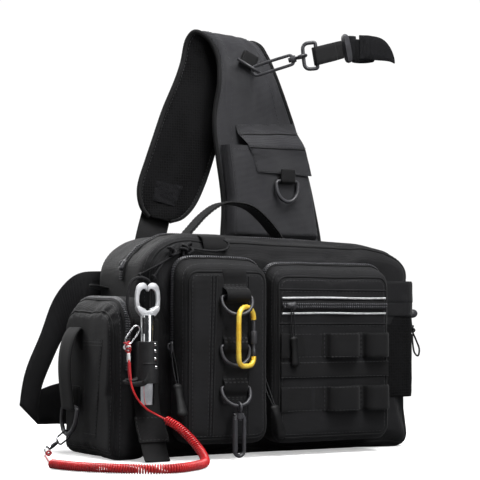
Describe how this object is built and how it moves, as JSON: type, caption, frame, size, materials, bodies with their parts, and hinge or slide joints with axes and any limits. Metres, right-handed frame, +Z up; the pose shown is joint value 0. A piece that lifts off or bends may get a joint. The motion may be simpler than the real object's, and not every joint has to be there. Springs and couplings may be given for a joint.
{
  "type": "fishing tackle sling bag",
  "caption": "Soft fishing tackle bag worn on a padded shoulder sling, with zipped pockets, webbing rings and loops, carabiner, snap hooks, rod keeper, rod pocket and a fish gripper on a coil.",
  "frame": {"origin": "on the floor under the middle of the main compartment's base", "axes": "+X to the right along the bag's front, +Y to the bag's back, +Z up; the front pockets face -Y"},
  "size_m": [0.4922, 0.3071, 0.4875],
  "materials": {
    "nylon": "matt woven nylon",
    "webbing": "ribbed woven webbing",
    "mesh": "spacer mesh",
    "zip": "coil zip on woven tape",
    "piping": "reflective piping",
    "plastic": "satin moulded plastic",
    "rubber": "moulded rubber and elastic",
    "anodised": "anodised, satin",
    "steel": "polished stainless steel",
    "redcoil": "glossy coated cord"
  },
  "bodies": {
    "bag": {"main_compartment": "nylon", "main_zip": "zip", "tall_pocket": "nylon", "tall_pocket_zip": "zip", "wide_pocket": "nylon", "wide_pocket_zip": "zip", "end_pocket": "nylon", "end_pocket_zip": "zip", "ring_webbing": "webbing", "ring_upper": "plastic", "ring_middle": "plastic", "ring_lower": "plastic", "hook_eye": "plastic", "carabiner": "anodised", "band_upper": "webbing", "band_middle": "webbing", "band_lower": "webbing", "piping_upper": "piping", "piping_lower": "piping", "face_zip": "zip", "top_handle": "webbing", "lid_tab": "webbing", "shoulder_sling": "nylon", "sling_webbing": "webbing", "sling_pouch": "nylon", "pouch_flap": "nylon", "sling_ring_lower": "plastic", "sling_tab_lower": "webbing", "sling_ring_upper": "plastic", "sling_tab_upper": "webbing", "keeper_eye": "plastic", "keeper_ring": "plastic", "keeper_webbing": "webbing", "keeper_buckle": "plastic", "keeper_tail": "webbing", "side_band": "nylon", "end_strap": "webbing", "end_ring": "plastic", "end_tab": "nylon", "rod_pocket": "mesh", "cord_lock": "plastic", "slip_pocket": "nylon", "gripper_tube": "steel", "gripper_holder": "rubber", "gripper_strap": "webbing", "lanyard_link": "steel", "lanyard_lead": "redcoil", "lanyard_coil": "redcoil", "lanyard_clip": "steel", "lanyard_end": "redcoil", "pull_main": "rubber", "pull_tall": "rubber", "pull_wide": "rubber", "pull_face": "rubber", "shock_cord": "rubber"},
    "gate": {"carabiner_gate": "plastic"},
    "snap_hook": {"hook_body": "plastic"},
    "keeper_snap_hook": {"keeper_hook": "plastic"},
    "jaw_left": {"jaw_left": "steel"},
    "jaw_right": {"jaw_right": "steel"}
  },
  "joints": [
    {"name": "gate_hinge", "type": "hinge", "parent": "bag", "child": "gate", "pos_m": [-0.06305, -0.11104, 0.109], "axis": [0.4695, -0.8829, 0], "range_deg": [0, 14], "stiffness_Nm_per_rad": 0.02, "springref_deg": -5.73},
    {"name": "hook_swivel", "type": "hinge", "parent": "bag", "child": "snap_hook", "pos_m": [-0.083, -0.1164, 0.05466], "axis": [0, 0, 1], "continuous": true},
    {"name": "keeper_swivel", "type": "hinge", "parent": "bag", "child": "keeper_snap_hook", "pos_m": [0.06564, 0.00567, 0.45043], "axis": [0.7381, -0.6201, 0.266], "range_deg": [-3, 3]},
    {"name": "jaw_left_hinge", "type": "hinge", "parent": "bag", "child": "jaw_left", "pos_m": [-0.1775, -0.087, 0.157], "axis": [0, -1, 0], "range_deg": [0, 12], "stiffness_Nm_per_rad": 0.05, "springref_deg": -5.73},
    {"name": "jaw_right_hinge", "type": "hinge", "parent": "bag", "child": "jaw_right", "pos_m": [-0.1705, -0.087, 0.157], "axis": [0, 1, 0], "range_deg": [0, 12]}
  ],
  "couplings": [
    {"joint": "jaw_right_hinge", "follows": "jaw_left_hinge", "ratio": 1}
  ]
}
